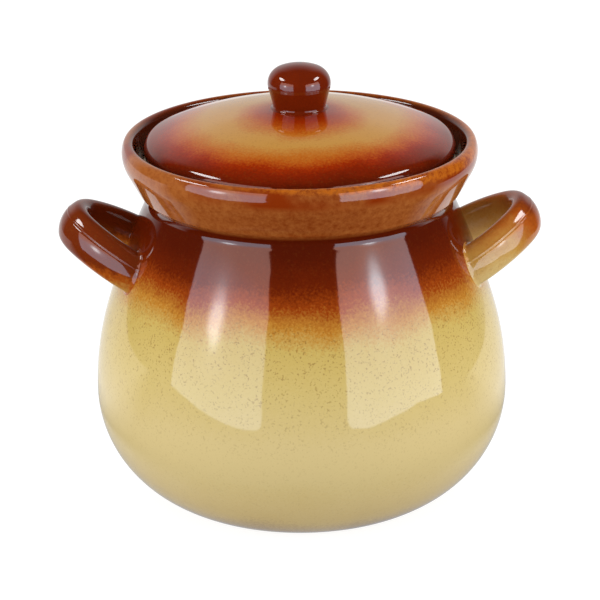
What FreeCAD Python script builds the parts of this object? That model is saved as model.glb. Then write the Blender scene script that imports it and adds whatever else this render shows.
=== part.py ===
import FreeCAD, Part
import math
import os

import Sketcher

# Two-handled stoneware bean pot with a loose domed lid.
#
# Five pieces of fired clay: the turned pot with its flared collar, two strap handles luted to the
# shoulder, the lid that drops onto a ledge inside the collar, and the lid's turned knob.
# Millimetres. +Z is up and is the turning axis; the origin is the centre of the foot's face.
# The handles stand out along X.

# Driving sizes: name, value, what it measures.
SIZES = [
    ("belly_radius", 105.0, "largest radius of the pot"),
    ("belly_height", 53.0, "height of the largest radius"),
    ("foot_inset", 32.5, "how far the foot's edge lies inside the largest radius"),
    ("foot_ring_width", 9.0, "width of the ring the pot stands on"),
    ("foot_recess", 2.5, "depth of the hollow inside the foot ring"),
    ("foot_round", 6.0, "rounding of the foot's outer edge"),
    ("shoulder_fall", 6.3, "how far the shoulder starts inside the largest radius"),
    ("shoulder_rise", 43.0, "how far the shoulder starts above the largest radius"),
    ("neck_radius", 76.0, "radius of the groove under the collar"),
    ("neck_height", 154.6, "height of the groove under the collar"),
    ("neck_round", 5.0, "radius of the hollow curve in the groove under the collar"),
    ("pot_wall", 6.5, "wall of the belly and shoulder"),
    ("neck_wall", 6.5, "wall of the throat at the neck"),
    ("floor_thickness", 9.0, "inside floor above the foot's face"),
    ("floor_round", 14.0, "rounding where the inside floor meets the wall"),
    ("collar_overhang", 4.7, "how far the collar's lower edge stands out over the neck"),
    ("collar_step", 3.8, "height of the collar's lower edge above the neck"),
    ("collar_edge_round", 3.0, "rounding of the collar's lower edge"),
    ("collar_flare", 12.8, "how far the collar's widest level stands out over the neck"),
    ("collar_height", 29.0, "height of the top of the rim above the neck"),
    ("collar_turn", 16.0, "radius of the curve that turns the collar's leaning face upright"),
    ("collar_crown", 10.5, "radius of the collar's outside above its widest level"),
    ("lip_round", 2.8, "radius of the lip's crest"),
    ("lip_rise", 3.2, "height of the centre of the crest above the collar's widest level"),
    ("gallery_depth", 13.6, "depth of the lid's ledge below the top of the rim"),
    ("gallery_inset", 10.2, "how far the ledge's outer edge lies inside the collar's widest level"),
    ("throat_round", 1.5, "rounding of the ledge's inner edge"),
    ("lid_clearance", 2.5, "gap between the lid's foot and the collar, all round"),
    ("lid_swell", 1.75, "how far the lid's edge stands out over its foot"),
    ("lid_edge_round", 5.0, "rounding of the lid's edge"),
    ("lid_crown", 28.7, "height of the knob's seat above the ledge"),
    ("dome_radius", 171.0, "radius of the lid's dome"),
    ("lid_wall", 6.5, "wall of the lid's dome"),
    ("flange_clearance", 1.5, "gap between the lid's flange and the throat, all round"),
    ("flange_depth", 8.0, "how far the flange hangs below the ledge"),
    ("flange_thickness", 5.5, "thickness of the flange"),
    ("flange_round", 1.5, "rounding of the flange's lower edges"),
    ("knob_foot_radius", 14.6, "radius of the knob where it is luted to the lid"),
    ("knob_waist_depth", 1.5, "how far the waist is drawn in from the foot"),
    ("knob_waist_round", 3.0, "radius of the hollow curve at the waist"),
    ("knob_head_radius", 15.7, "largest radius of the knob"),
    ("knob_head_height", 12.5, "height of the largest radius above the seat"),
    ("knob_head_round", 8.5, "radius of the head's shoulder"),
    ("knob_crown_rise", 1.3, "height of the crown above the head's shoulder"),
    ("handle_overhang", 9.2, "how far the band's middle stands out over the largest radius"),
    ("handle_drop", 13.1, "how far the band's middle lies below the neck at its end"),
    ("handle_tilt", 31.0, "rise of the loop's plane, degrees"),
    ("handle_length", 44.0, "length of the loop's curved part, to the middle of the band"),
    ("handle_half_width", 29.5, "half the width of the loop, to the middle of the band"),
    ("handle_bend", 20.0, "radius of the loop's outer bend, to the middle of the band"),
    ("band_height", 20.8, "height of the band, square to the loop's plane"),
    ("band_thickness", 12.2, "thickness of the band in the loop's plane"),
    ("band_round", 4.6, "radius of the band's top and of its bottom"),
]

# Sizes that follow from the driving ones. All but the last two are plain sums.
FOOT_RADIUS = "belly_radius - foot_inset"
FOOT_RING_INSIDE = f"{FOOT_RADIUS} - foot_ring_width"
SHOULDER_RADIUS = "belly_radius - shoulder_fall"
SHOULDER_HEIGHT = "belly_height + shoulder_rise"
COLLAR_EDGE_RADIUS = "neck_radius + collar_overhang"
COLLAR_EDGE_HEIGHT = "neck_height + collar_step"
RIM_RADIUS = "neck_radius + collar_flare"
LIP_LEVEL = "neck_height + collar_height - lip_round"
RIM_LEVEL = f"{LIP_LEVEL} - lip_rise"
LEDGE_RADIUS = f"{RIM_RADIUS} - gallery_inset"
LEDGE_HEIGHT = "neck_height + collar_height - gallery_depth"
THROAT_RADIUS = "neck_radius - neck_wall"
LID_FOOT_RADIUS = f"{LEDGE_RADIUS} - lid_clearance"
FLANGE_RADIUS = f"{THROAT_RADIUS} - flange_clearance"
FLANGE_INSIDE = f"{FLANGE_RADIUS} - flange_thickness"
FLANGE_FOOT = f"{LEDGE_HEIGHT} - flange_depth"
KNOB_SEAT = f"{LEDGE_HEIGHT} + lid_crown"
KNOB_HEAD = f"{KNOB_SEAT} + knob_head_height"
KNOB_TOP = f"{KNOB_HEAD} + knob_head_round + knob_crown_rise"
LOOP_REACH = "belly_radius + handle_overhang"
LOOP_HEIGHT = "neck_height - handle_drop"
LOOP_RUN = f"( {LOOP_REACH} ) / cos( handle_tilt * 1 deg )"
LOOP_DEPTH = f"{LOOP_HEIGHT} - ( {LOOP_REACH} ) * tan( handle_tilt * 1 deg )"

# How a sketch numbers the vertices of a piece, and its own axes; its origin starts the first.
START, END, CENTRE = range(1, 4)
HORIZONTAL_AXIS, VERTICAL_AXIS = range(-1, -3, -1)
ORIGIN = (HORIZONTAL_AXIS, START)


def make_sheet(doc):
    """The sheet of driving sizes, one named cell each."""
    sheet = doc.addObject("Spreadsheet::Sheet", "Sizes")
    for row, (name, value, meaning) in enumerate(SIZES, start=1):
        sheet.set(f"A{row}", name)
        sheet.set(f"B{row}", str(value))
        sheet.set(f"C{row}", meaning)
        sheet.setAlias(f"B{row}", name)
    doc.recompute()
    return sheet


def bound(expression):
    """The sheet's expression for one written with bare size names, set apart by spaces."""
    names = {name for name, _, _ in SIZES}
    return " ".join(f"Sizes.{word}" if word in names else word for word in expression.split())


def size_reader(sheet):
    """A function that gives the value of one size, or of a sum of sizes such as "a - b + c"."""
    signs = {"+": 1, "-": -1}

    def size(expression):
        words = f"+ {expression}".split()
        return sum(signs[sign] * sheet.get(name) for sign, name in zip(words[::2], words[1::2]))

    return size


def point(x, y):
    return FreeCAD.Vector(x, y, 0)


def centre_of_arc(start, towards, end):
    """Centre of the arc that leaves `start` square to the direction `towards` and reaches `end`."""
    unit = FreeCAD.Vector(towards).normalize()
    chord = end - start
    return start + unit * (chord.dot(chord) / (2 * chord.dot(unit)))


def centre_inside(outer_centre, outer_radius, radius, x):
    """Centre, at distance x from the axis, of an arc that touches a larger arc from inside."""
    offset = x - outer_centre.x
    return point(x, outer_centre.y + math.sqrt((outer_radius - radius) ** 2 - offset**2))


def outward(centre, through, distance):
    """The point at a distance from a centre, on the ray through another point."""
    return centre + (through - centre).normalize() * distance


class Outline:
    """An outline in one sketch: each piece is drawn where the sizes put it, then tied to the sheet.

    A piece is (number, first vertex, last vertex), in the direction the outline runs.
    """

    def __init__(self, body, name, plane="XZ_Plane"):
        self.sketch = body.newObject("Sketcher::SketchObject", name)
        planes = body.Origin.OriginFeatures
        self.sketch.AttachmentSupport = (next(p for p in planes if p.Role == plane), "")
        self.sketch.MapMode = "FlatFace"

    def line(self, start, end):
        return self.sketch.addGeometry(Part.LineSegment(start, end), False), START, END

    def arc(self, centre, start, end):
        """The shorter way round the centre; exactly half a turn goes counterclockwise."""
        counterclockwise = (start - centre).cross(end - centre).z > -Part.Precision.confusion()
        first, last = (start, end) if counterclockwise else (end, start)
        circle = Part.Circle(centre, FreeCAD.Vector(0, 0, 1), (start - centre).Length)
        angles = [math.atan2(p.y - centre.y, p.x - centre.x) for p in (first, last)]
        if angles[1] <= angles[0]:
            angles[1] += 2 * math.pi
        number = self.sketch.addGeometry(Part.ArcOfCircle(circle, *angles), False)
        return (number, START, END) if counterclockwise else (number, END, START)

    def constrain(self, *terms):
        return self.sketch.addConstraint(Sketcher.Constraint(*terms))

    def join(self, piece, following, smooth=False):
        """The end of one piece meets the start of the next, as a corner or running smoothly on."""
        kind = "Tangent" if smooth else "Coincident"
        self.constrain(kind, piece[0], piece[2], following[0], following[1])

    def measure(self, kind, terms, value, expression):
        number = self.constrain(kind, *terms, value)
        self.sketch.setExpression(f"Constraints[{number}]", bound(expression))

    def place(self, number, vertex, x=None, y=None):
        """Hold a vertex at its named distances from the sketch's origin."""
        at = self.sketch.getPoint(number, vertex)
        if x:
            self.measure("DistanceX", (*ORIGIN, number, vertex), at.x, x)
        if y:
            self.measure("DistanceY", (*ORIGIN, number, vertex), at.y, y)

    def on_axis(self, number, vertex, axis=VERTICAL_AXIS):
        self.constrain("PointOnObject", number, vertex, axis)

    def radius(self, number, expression):
        self.measure("Radius", (number,), self.sketch.Geometry[number].Radius, expression)


def turn_solid(body, outline, name, kind="PartDesign::Revolution"):
    """A full turn of the outline about the upright axis: a solid, or a groove cut from one."""
    feature = body.newObject(kind, name)
    feature.Profile = outline.sketch
    feature.ReferenceAxis = (outline.sketch, ["V_Axis"])
    feature.Angle = 360
    return feature


def round_ring(body, name, ring, rounding):
    """Round the ring edge whose radius and height are the given point's."""
    body.Document.recompute()
    base = body.Tip
    edges = [
        f"Edge{number}"
        for number, edge in enumerate(base.Shape.Edges, start=1)
        if not edge.Degenerated
        and isinstance(edge.Curve, Part.Circle)
        and abs(edge.Curve.Radius - ring.x) < 1e-4
        and abs(edge.Curve.Center.z - ring.y) < 1e-4
    ]
    fillet = body.newObject("PartDesign::Fillet", name)
    fillet.Base = (base, edges)
    fillet.setExpression("Radius", bound(rounding))


def flank_points(size):
    """The four points that the pot's outside runs through, and the centres of its three arcs."""
    foot = point(size(FOOT_RADIUS), 0)
    belly = point(size("belly_radius"), size("belly_height"))
    shoulder = point(size(SHOULDER_RADIUS), size(SHOULDER_HEIGHT))
    neck = point(size("neck_radius"), size("neck_height"))
    low = centre_of_arc(belly, point(-1, 0), foot)
    high = centre_of_arc(belly, point(-1, 0), shoulder)
    upper = centre_of_arc(shoulder, high - shoulder, neck)
    return (foot, belly, shoulder, neck), (low, high, upper)


def draw_flank(outline, size):
    """The pot's outside from foot to neck: both belly arcs stand upright where they meet."""
    corners, centres = flank_points(size)
    low, high, upper = (
        outline.arc(centre, start, end)
        for centre, start, end in zip(centres, corners, corners[1:])
    )
    outline.join(low, high)
    outline.join(high, upper, smooth=True)
    outline.place(*low[:2], x=FOOT_RADIUS)
    outline.on_axis(*low[:2], HORIZONTAL_AXIS)
    outline.place(*high[:2], x="belly_radius", y="belly_height")
    outline.place(low[0], CENTRE, y="belly_height")
    outline.place(high[0], CENTRE, y="belly_height")
    outline.place(*upper[:2], x=SHOULDER_RADIUS, y=SHOULDER_HEIGHT)
    outline.place(*upper[::2], x="neck_radius", y="neck_height")
    return low, high, upper


def draw_collar(outline, size):
    """From the neck out to the collar's edge, up its face, which turns upright, and over the lip."""
    neck = point(size("neck_radius"), size("neck_height"))
    edge = point(size(COLLAR_EDGE_RADIUS), size(COLLAR_EDGE_HEIGHT))
    rim = point(size(RIM_RADIUS), size(RIM_LEVEL))
    turn, crown, lip_round = size("collar_turn"), size("collar_crown"), size("lip_round")
    turn_centre = rim - point(turn, 0)
    to_centre = turn_centre - edge
    heading = math.atan2(to_centre.y, to_centre.x) - math.asin(turn / to_centre.Length)
    run = math.sqrt(to_centre.Length**2 - turn**2)
    touch = edge + point(math.cos(heading), math.sin(heading)) * run
    crown_centre = rim - point(crown, 0)
    lip_rise = size("lip_rise")
    offset = math.sqrt((crown - lip_round) ** 2 - lip_rise**2)
    lip_centre = crown_centre + point(offset, lip_rise)
    crown_end = outward(crown_centre, lip_centre, crown)

    under = outline.line(neck, edge)
    face = outline.line(edge, touch)
    roll = outline.arc(turn_centre, touch, rim)
    side = outline.arc(crown_centre, rim, crown_end)
    lip = outline.arc(lip_centre, crown_end, lip_centre - point(lip_round, 0))
    pieces = (under, face, roll, side, lip)
    for piece, following in zip(pieces, pieces[1:]):
        outline.join(piece, following, smooth=piece is not under)
    outline.place(*face[:2], x=COLLAR_EDGE_RADIUS, y=COLLAR_EDGE_HEIGHT)
    outline.place(roll[0], CENTRE, y=RIM_LEVEL)
    outline.place(*side[:2], x=RIM_RADIUS, y=RIM_LEVEL)
    for vertex in (CENTRE, lip[2]):
        outline.place(lip[0], vertex, y=LIP_LEVEL)
    outline.radius(roll[0], "collar_turn")
    outline.radius(side[0], "collar_crown")
    outline.radius(lip[0], "lip_round")
    return under, lip


def inside_points(size):
    """The chamber's corners: edge of the floor, belly, shoulder and foot of the throat."""
    (_, belly, shoulder, neck), (low, high, upper) = flank_points(size)
    wall = size("pot_wall")
    inner_belly = belly - point(wall, 0)
    inner_shoulder = outward(shoulder, high, wall)
    floor, throat = size("floor_thickness"), size(THROAT_RADIUS)
    low_radius = (inner_belly - low).Length
    floor_edge = point(low.x + math.sqrt(low_radius**2 - (floor - low.y) ** 2), floor)
    half_chord = math.sqrt((inner_shoulder - upper).Length ** 2 - (throat - upper.x) ** 2)
    levels = (upper.y - half_chord, upper.y + half_chord)
    throat_foot = point(throat, min(levels, key=lambda level: abs(level - neck.y)))
    return floor_edge, inner_belly, inner_shoulder, throat_foot


def draw_inside(outline, size, flank, lip):
    """From the lip down the collar's inside, the ledge, the throat and the chamber to the floor."""
    floor_edge, belly, shoulder, throat_foot = inside_points(size)
    _, centres = flank_points(size)
    ledge_outer = point(size(LEDGE_RADIUS), size(LEDGE_HEIGHT))
    ledge_inner = point(size(THROAT_RADIUS), size(LEDGE_HEIGHT))

    collar = outline.line(outline.sketch.getPoint(lip[0], lip[2]), ledge_outer)
    ledge = outline.line(ledge_outer, ledge_inner)
    throat = outline.line(ledge_inner, throat_foot)
    upper = outline.arc(centres[2], throat_foot, shoulder)
    high = outline.arc(centres[1], shoulder, belly)
    low = outline.arc(centres[0], belly, floor_edge)
    floor = outline.line(floor_edge, point(0, floor_edge.y))
    pieces = (collar, ledge, throat, upper, high, low, floor)
    for piece, following in zip(pieces, pieces[1:]):
        outline.join(piece, following, smooth=piece is upper)
    for outer_arc, inner_arc in zip(flank, (low, high, upper)):
        outline.constrain("Coincident", outer_arc[0], CENTRE, inner_arc[0], CENTRE)
    outline.place(*collar[::2], x=LEDGE_RADIUS, y=LEDGE_HEIGHT)
    outline.place(*ledge[::2], x=THROAT_RADIUS, y=LEDGE_HEIGHT)
    outline.constrain("Vertical", throat[0])
    outline.place(*high[::2], x="belly_radius - pot_wall", y="belly_height")
    outline.place(*floor[::2], y="floor_thickness")
    outline.constrain("Horizontal", floor[0])
    outline.on_axis(*floor[::2])
    return collar, floor


def make_pot_body(doc, size):
    """The pot: one wall section turned about the axis, with its foot ring, collar and ledge."""
    body = doc.addObject("PartDesign::Body", "pot_body")
    outline = Outline(body, "pot_section")
    foot = point(size(FOOT_RADIUS), 0)
    ring_inside = point(size(FOOT_RING_INSIDE), 0)
    recess = point(0, size("foot_recess"))

    flank = draw_flank(outline, size)
    under, lip = draw_collar(outline, size)
    collar, floor = draw_inside(outline, size, flank, lip)
    axis = outline.line(point(0, size("floor_thickness")), recess)
    hollow = outline.line(recess, ring_inside + recess)
    step = outline.line(ring_inside + recess, ring_inside)
    ring = outline.line(ring_inside, foot)
    for piece, following in (
        (flank[2], under),
        (lip, collar),
        (floor, axis),
        (axis, hollow),
        (hollow, step),
        (step, ring),
        (ring, flank[0]),
    ):
        outline.join(piece, following)
    outline.on_axis(axis[0], END)
    outline.constrain("Horizontal", hollow[0])
    outline.place(step[0], START, x=FOOT_RING_INSIDE, y="foot_recess")
    outline.constrain("Vertical", step[0])
    outline.constrain("Horizontal", ring[0])
    turn_solid(body, outline, "turned_pot")

    round_ring(body, "foot_rounding", foot, "foot_round")
    round_ring(body, "floor_rounding", inside_points(size)[0], "floor_round")
    neck = point(size("neck_radius"), size("neck_height"))
    round_ring(body, "neck_rounding", neck, "neck_round")
    edge = point(size(COLLAR_EDGE_RADIUS), size(COLLAR_EDGE_HEIGHT))
    round_ring(body, "collar_edge_rounding", edge, "collar_edge_round")
    throat = point(size(THROAT_RADIUS), size(LEDGE_HEIGHT))
    round_ring(body, "throat_rounding", throat, "throat_round")
    return body


def lid_points(size):
    """Corners and centres of the lid's section: knob seat, dome, rounded edge, foot and flange."""
    seat = point(size("knob_foot_radius"), size(KNOB_SEAT))
    dome = size("dome_radius")
    dome_centre = point(0, seat.y - math.sqrt(dome**2 - seat.x**2))
    foot = point(size(LID_FOOT_RADIUS), size(LEDGE_HEIGHT))
    edge_round = size("lid_edge_round")
    edge_x = foot.x + size("lid_swell")
    edge_centre = centre_inside(dome_centre, dome, edge_round, edge_x - edge_round)
    edge = edge_centre + point(edge_round, 0)
    dome_end = outward(dome_centre, edge_centre, dome)
    inside = size(FLANGE_INSIDE)
    under_radius = dome - size("lid_wall")
    under = point(inside, dome_centre.y + math.sqrt(under_radius**2 - inside**2))
    top_inside = point(0, dome_centre.y + under_radius)
    return seat, dome_centre, dome_end, edge_centre, edge, foot, under, top_inside


def make_lid(doc, size):
    """The lid: a hollow dome with a flat foot that rests on the ledge and a flange in the throat."""
    body = doc.addObject("PartDesign::Body", "lid")
    outline = Outline(body, "lid_section")
    seat, dome_centre, dome_end, edge_centre, edge, foot, under, top_inside = lid_points(size)
    flange_top = point(size(FLANGE_RADIUS), foot.y)
    flange_foot = point(size(FLANGE_RADIUS), size(FLANGE_FOOT))
    flange_inner_foot = point(under.x, flange_foot.y)

    pad = outline.line(point(0, seat.y), seat)
    dome = outline.arc(dome_centre, seat, dome_end)
    roll = outline.arc(edge_centre, dome_end, edge)
    side = outline.line(edge, foot)
    rest = outline.line(foot, flange_top)
    flange_out = outline.line(flange_top, flange_foot)
    flange_end = outline.line(flange_foot, flange_inner_foot)
    flange_in = outline.line(flange_inner_foot, under)
    under_dome = outline.arc(dome_centre, under, top_inside)
    axis = outline.line(top_inside, point(0, seat.y))
    pieces = (pad, dome, roll, side, rest, flange_out, flange_end, flange_in, under_dome, axis)
    for piece, following in zip(pieces, pieces[1:] + pieces[:1]):
        outline.join(piece, following, smooth=piece is dome)
    outline.on_axis(pad[0], START)
    outline.constrain("Horizontal", pad[0])
    outline.place(pad[0], END, x="knob_foot_radius", y=KNOB_SEAT)
    outline.on_axis(dome[0], CENTRE)
    outline.radius(dome[0], "dome_radius")
    outline.radius(roll[0], "lid_edge_round")
    outline.place(roll[0], CENTRE, x=f"{LID_FOOT_RADIUS} + lid_swell - lid_edge_round")
    outline.constrain("Horizontal", roll[0], CENTRE, side[0], START)
    outline.place(side[0], END, x=LID_FOOT_RADIUS, y=LEDGE_HEIGHT)
    outline.constrain("Horizontal", rest[0])
    outline.place(flange_out[0], START, x=FLANGE_RADIUS)
    outline.constrain("Vertical", flange_out[0])
    outline.place(flange_out[0], END, y=FLANGE_FOOT)
    outline.constrain("Horizontal", flange_end[0])
    outline.place(flange_in[0], START, x=FLANGE_INSIDE)
    outline.constrain("Vertical", flange_in[0])
    outline.constrain("Coincident", under_dome[0], CENTRE, dome[0], CENTRE)
    outline.radius(under_dome[0], "dome_radius - lid_wall")
    outline.on_axis(axis[0], START)
    turn_solid(body, outline, "turned_lid")

    round_ring(body, "flange_outer_rounding", flange_foot, "flange_round")
    round_ring(body, "flange_inner_rounding", flange_inner_foot, "flange_round")
    return body


def make_lid_knob(doc, size):
    """The knob: a hollow curve at the waist, a straight flank, a rounded head and a low crown."""
    body = doc.addObject("PartDesign::Body", "lid_knob")
    outline = Outline(body, "knob_section")
    base = size(KNOB_SEAT)
    foot = point(size("knob_foot_radius"), base)
    waist_round, head_round = size("knob_waist_round"), size("knob_head_round")
    overhang = waist_round - size("knob_waist_depth")
    waist_centre = foot + point(overhang, math.sqrt(waist_round**2 - overhang**2))
    head_centre = point(size("knob_head_radius - knob_head_round"), size(KNOB_HEAD))
    between = head_centre - waist_centre
    lean = math.atan2(between.y, between.x)
    lean += math.acos((waist_round + head_round) / between.Length)
    side = point(math.cos(lean), math.sin(lean))
    waist_end = waist_centre + side * waist_round
    head_start = head_centre - side * head_round
    apex = point(0, size(KNOB_TOP))
    rise = size("knob_crown_rise")
    crown_radius = head_round + (head_centre.x**2 + rise**2) / (2 * rise)
    crown_centre = apex - point(0, crown_radius)
    head_end = outward(crown_centre, head_centre, crown_radius)

    bottom = outline.line(point(0, base), foot)
    waist = outline.arc(waist_centre, foot, waist_end)
    flank = outline.line(waist_end, head_start)
    head = outline.arc(head_centre, head_start, head_end)
    crown = outline.arc(crown_centre, head_end, apex)
    axis = outline.line(apex, point(0, base))
    pieces = (bottom, waist, flank, head, crown, axis)
    for piece, following in zip(pieces, pieces[1:] + pieces[:1]):
        outline.join(piece, following, smooth=piece in (waist, flank, head))
    outline.on_axis(bottom[0], START)
    outline.constrain("Horizontal", bottom[0])
    outline.place(bottom[0], END, x="knob_foot_radius", y=KNOB_SEAT)
    waist_offset = "knob_foot_radius - knob_waist_depth + knob_waist_round"
    outline.place(waist[0], CENTRE, x=waist_offset)
    outline.radius(waist[0], "knob_waist_round")
    outline.place(head[0], CENTRE, x="knob_head_radius - knob_head_round", y=KNOB_HEAD)
    outline.radius(head[0], "knob_head_round")
    outline.on_axis(crown[0], CENTRE)
    outline.on_axis(axis[0], START)
    outline.place(axis[0], START, y=KNOB_TOP)
    turn_solid(body, outline, "turned_knob")
    return body


def make_handle(doc, size, label, half_turn):
    """A strap handle: a band carried round a loop that rises outwards, cut back to the flank."""
    body = doc.addObject("PartDesign::Body", label)
    loop = draw_loop(body, size)
    band = draw_band(body, size)
    pipe = body.newObject("PartDesign::AdditivePipe", "strap")
    pipe.Profile = band.sketch
    pipe.Spine = (loop.sketch, [f"Edge{number}" for number, _ in enumerate(loop.sketch.Geometry, 1)])
    pipe.Mode = "Standard"

    outline = Outline(body, "flank_outline")
    flank = draw_flank(outline, size)
    neck = point(size("neck_radius"), size("neck_height"))
    top = outline.line(neck, point(0, neck.y))
    axis = outline.line(point(0, neck.y), point(0, 0))
    base = outline.line(point(0, 0), point(size(FOOT_RADIUS), 0))
    for piece, following in ((flank[2], top), (top, axis), (axis, base), (base, flank[0])):
        outline.join(piece, following)
    outline.constrain("Horizontal", top[0])
    outline.on_axis(top[0], END)
    outline.constrain("Coincident", axis[0], END, *ORIGIN)
    turn_solid(body, outline, "seat_on_flank", "PartDesign::Groove")
    body.Placement = FreeCAD.Placement(
        FreeCAD.Vector(), FreeCAD.Rotation(FreeCAD.Vector(0, 0, 1), 180 if half_turn else 0)
    )
    return body


def draw_loop(body, size):
    """The loop in its rising plane, from its outer end: a bend, two long arcs and straight roots.

    The roots run on to the pot's axis, so that they reach the flank whatever its shape is.
    """
    loop = Outline(body, "loop_line", "XY_Plane")
    half, bend = size("handle_half_width"), size("handle_bend")
    run = size(LOOP_REACH) / math.cos(math.radians(size("handle_tilt")))
    leg_x = -size("handle_length")
    bend_centre = point(-bend, 0)
    across = half - bend
    leg_radius = ((bend_centre.x - leg_x) ** 2 + across**2) / (2 * across) + bend
    centres = [point(leg_x, side * (half - leg_radius)) for side in (-1, 1)]
    starts = [point(leg_x, side * half) for side in (-1, 1)]
    meets = [outward(centre, bend_centre, leg_radius) for centre in centres]

    front_root = loop.line(point(-run, -half), starts[0])
    front = loop.arc(centres[0], starts[0], meets[0])
    end = loop.arc(bend_centre, meets[0], meets[1])
    back = loop.arc(centres[1], meets[1], starts[1])
    back_root = loop.line(starts[1], point(-run, half))
    pieces = (front_root, front, end, back, back_root)
    for piece, following in zip(pieces, pieces[1:]):
        loop.join(piece, following, smooth=True)
    for root in (front_root, back_root):
        loop.constrain("Horizontal", root[0])
    loop.constrain("Symmetric", *front[:2], *back[::2], HORIZONTAL_AXIS)
    loop.constrain("Vertical", *front_root[:2], *back_root[::2])
    loop.place(*front_root[:2], x=f"- {LOOP_RUN}", y="- handle_half_width")
    loop.place(*front[:2], x="- handle_length")
    loop.on_axis(end[0], CENTRE, HORIZONTAL_AXIS)
    loop.radius(end[0], "handle_bend")
    loop.place(end[0], CENTRE, x="- handle_bend")
    tilt_sketch(loop.sketch, FreeCAD.Vector(0, 1, 0), x=LOOP_REACH, z=LOOP_HEIGHT)
    return loop


def tilt_sketch(sketch, axis, **base):
    """Turn a sketch back by the handle's tilt about an axis of its plane, and move it by `base`."""
    sketch.AttachmentOffset = FreeCAD.Placement(FreeCAD.Vector(), FreeCAD.Rotation(axis, -1))
    sketch.setExpression(".AttachmentOffset.Rotation.Angle", bound("- handle_tilt * 1 deg"))
    for letter, expression in base.items():
        sketch.setExpression(f".AttachmentOffset.Base.{letter}", bound(expression))


def draw_band(body, size):
    """The band's section where the front root starts, at the pot's axis: an upright oval.

    Each face is one curve in two halves, so that the mould's line runs along its middle.
    """
    band = Outline(body, "band_section", "YZ_Plane")
    x, y, r = size("band_thickness") / 2, size("band_height") / 2, size("band_round")
    face_radius = (x * x + y * y - 2 * y * r) / (2 * (x - r))
    cap = point(0, y - r)
    right = point(x - face_radius, 0)
    meet = outward(right, cap, face_radius)
    across = point(-meet.x, meet.y)
    pieces = (
        band.arc(right, point(x, 0), meet),
        band.arc(cap, meet, across),
        band.arc(-right, across, point(-x, 0)),
        band.arc(-right, point(-x, 0), -meet),
        band.arc(-cap, -meet, -across),
        band.arc(right, -across, point(x, 0)),
    )
    upper_right, top, upper_left, lower_left, bottom, lower_right = pieces
    for piece, following in zip(pieces, pieces[1:] + pieces[:1]):
        band.join(piece, following, smooth=piece not in (upper_left, lower_right))
    for upper, lower in ((upper_right, lower_right), (upper_left, lower_left)):
        band.constrain("Coincident", upper[0], CENTRE, lower[0], CENTRE)
        band.on_axis(upper[0], CENTRE, HORIZONTAL_AXIS)
    band.on_axis(*upper_right[:2], HORIZONTAL_AXIS)
    band.on_axis(*lower_left[:2], HORIZONTAL_AXIS)
    band.place(*upper_right[:2], x="band_thickness / 2")
    band.place(*lower_left[:2], x="- band_thickness / 2")
    band.on_axis(top[0], CENTRE)
    band.place(top[0], CENTRE, y="band_height / 2 - band_round")
    band.radius(top[0], "band_round")
    band.constrain("Equal", top[0], bottom[0])
    tilt_sketch(band.sketch, FreeCAD.Vector(1, 0, 0), x="- handle_half_width", y=LOOP_DEPTH)
    return band


def check(doc, bodies):
    """Stop if anything failed to build or a piece isn't one sound solid."""
    for item in doc.Objects:
        if "Invalid" in item.State or "Error" in item.State:
            raise RuntimeError(f"{item.Label} failed: {item.State}")
    for body in bodies:
        shape = body.Shape
        if shape.isNull() or not shape.isValid() or len(shape.Solids) != 1:
            raise RuntimeError(f"{body.Label} is not one valid solid")


def main():
    doc = FreeCAD.newDocument("bean_pot")
    size = size_reader(make_sheet(doc))
    bodies = [
        make_pot_body(doc, size),
        make_handle(doc, size, "right_handle", half_turn=False),
        make_handle(doc, size, "left_handle", half_turn=True),
        make_lid(doc, size),
        make_lid_knob(doc, size),
    ]
    doc.recompute()
    check(doc, bodies)
    os.makedirs("parts", exist_ok=True)
    for body in bodies:
        body.Shape.exportStep(f"parts/{body.Label}.step")
        print(body.Label, "volume", round(body.Shape.Volume / 1000, 1), "cm3")


main()
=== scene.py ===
"""A glazed stoneware bean pot with two strap handles, and a loose domed lid with a turned knob."""

import math

import bpy
import numpy as np
from mathutils import Matrix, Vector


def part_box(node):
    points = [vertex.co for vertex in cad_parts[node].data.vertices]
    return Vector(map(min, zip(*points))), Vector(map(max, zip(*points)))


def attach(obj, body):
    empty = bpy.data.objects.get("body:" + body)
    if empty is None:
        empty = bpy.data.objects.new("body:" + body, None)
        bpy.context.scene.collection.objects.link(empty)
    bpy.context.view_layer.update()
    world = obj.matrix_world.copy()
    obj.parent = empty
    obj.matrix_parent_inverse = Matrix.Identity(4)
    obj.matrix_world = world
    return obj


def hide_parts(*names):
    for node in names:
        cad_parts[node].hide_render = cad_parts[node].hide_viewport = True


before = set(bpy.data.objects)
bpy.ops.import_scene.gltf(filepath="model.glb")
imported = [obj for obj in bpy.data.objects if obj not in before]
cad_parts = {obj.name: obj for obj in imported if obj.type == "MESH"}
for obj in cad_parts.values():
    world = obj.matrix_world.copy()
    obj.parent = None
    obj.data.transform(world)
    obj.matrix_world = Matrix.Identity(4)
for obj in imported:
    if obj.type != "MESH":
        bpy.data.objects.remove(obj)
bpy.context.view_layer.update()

# The pot. One wall of buff stoneware, thrown on a wheel and turned: foot ring, belly, shoulder and a
# rolled collar with a ledge inside it for the lid. It is dipped in a straw glaze, sprayed brown from the
# top and fired glossy.

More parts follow.
